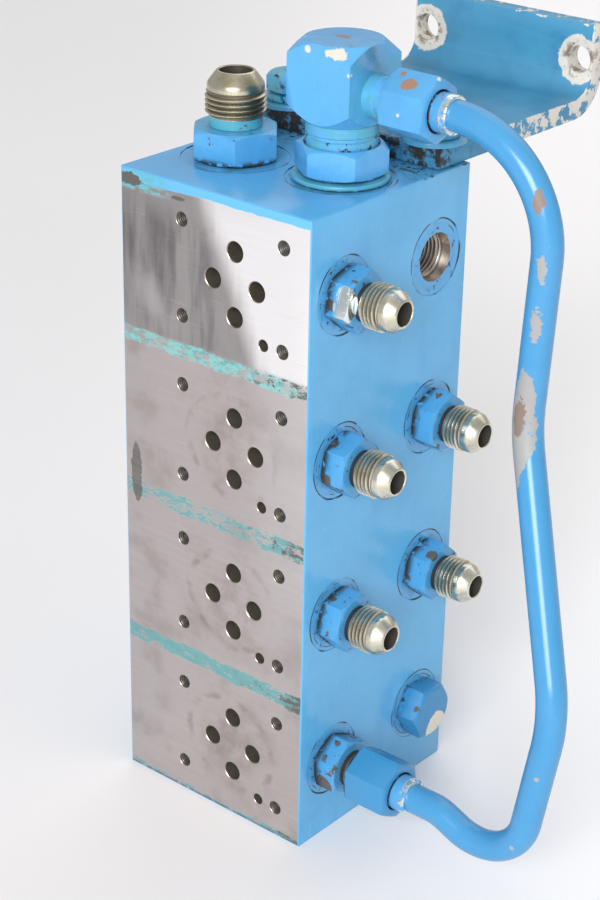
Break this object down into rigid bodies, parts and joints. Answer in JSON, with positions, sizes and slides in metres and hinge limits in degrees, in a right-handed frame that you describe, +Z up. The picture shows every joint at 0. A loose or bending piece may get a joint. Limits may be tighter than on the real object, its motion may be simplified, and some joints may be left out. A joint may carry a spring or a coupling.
{
  "type": "hydraulic valve manifold",
  "caption": "Upright hydraulic manifold block with a ground face for stacked directional valves, flared hose fittings, a bent jumper tube and a hanging bracket.",
  "frame": {"origin": "centre of the block's bottom face", "axes": "+Z up along the block; -Y out of the ground face that carries the valves; +X out of the side with the hose fittings; +Y the way the bracket reaches"},
  "size_m": [0.1642, 0.1506, 0.2584],
  "materials": {
    "blue_paint": "glossy azure paint with grime and chips round the hexagons; bare ground steel on the valve face",
    "bracket_paint": "satin teal-blue paint chipped off the edges and round the holes",
    "yellow_zinc": "pale yellow zinc plate, with painted hexagons",
    "black_rubber": "matt black seal rubber"
  },
  "bodies": {
    "manifold": {"manifold_block": "blue_paint", "elbow_body": "blue_paint", "elbow_locknut": "blue_paint", "elbow_washer": "blue_paint", "jumper_tube": "blue_paint", "upper_tube_sleeve": "blue_paint", "lower_tube_sleeve": "blue_paint", "port_plug": "blue_paint", "left_bolt": "blue_paint", "right_bolt": "blue_paint", "left_flat_washer": "blue_paint", "right_flat_washer": "blue_paint", "left_lock_washer": "blue_paint", "right_lock_washer": "blue_paint", "front_adapter_1": "yellow_zinc", "front_adapter_2": "yellow_zinc", "front_adapter_3": "yellow_zinc", "rear_adapter_2": "yellow_zinc", "rear_adapter_3": "yellow_zinc", "tube_adapter": "yellow_zinc", "top_adapter": "yellow_zinc", "tank_gallery_plug": "yellow_zinc", "pressure_gallery_plug": "yellow_zinc", "front_oring_1": "black_rubber", "front_oring_2": "black_rubber", "front_oring_3": "black_rubber", "front_oring_4": "black_rubber", "rear_oring_2": "black_rubber", "rear_oring_3": "black_rubber", "rear_oring_4": "black_rubber", "elbow_oring": "black_rubber", "top_adapter_oring": "black_rubber", "mounting_bracket": "bracket_paint"},
    "upper_nut": {"upper_tube_nut": "blue_paint"},
    "lower_nut": {"lower_tube_nut": "blue_paint"}
  },
  "joints": [
    {"name": "upper_nut_turn", "type": "hinge", "parent": "manifold", "child": "upper_nut", "pos_m": [0.0461, -0.001, 0.2432], "axis": [1, 0, 0], "continuous": true},
    {"name": "lower_nut_turn", "type": "hinge", "parent": "manifold", "child": "lower_nut", "pos_m": [0.0585, -0.0223, 0.02699], "axis": [1, 0, 0], "continuous": true}
  ]
}
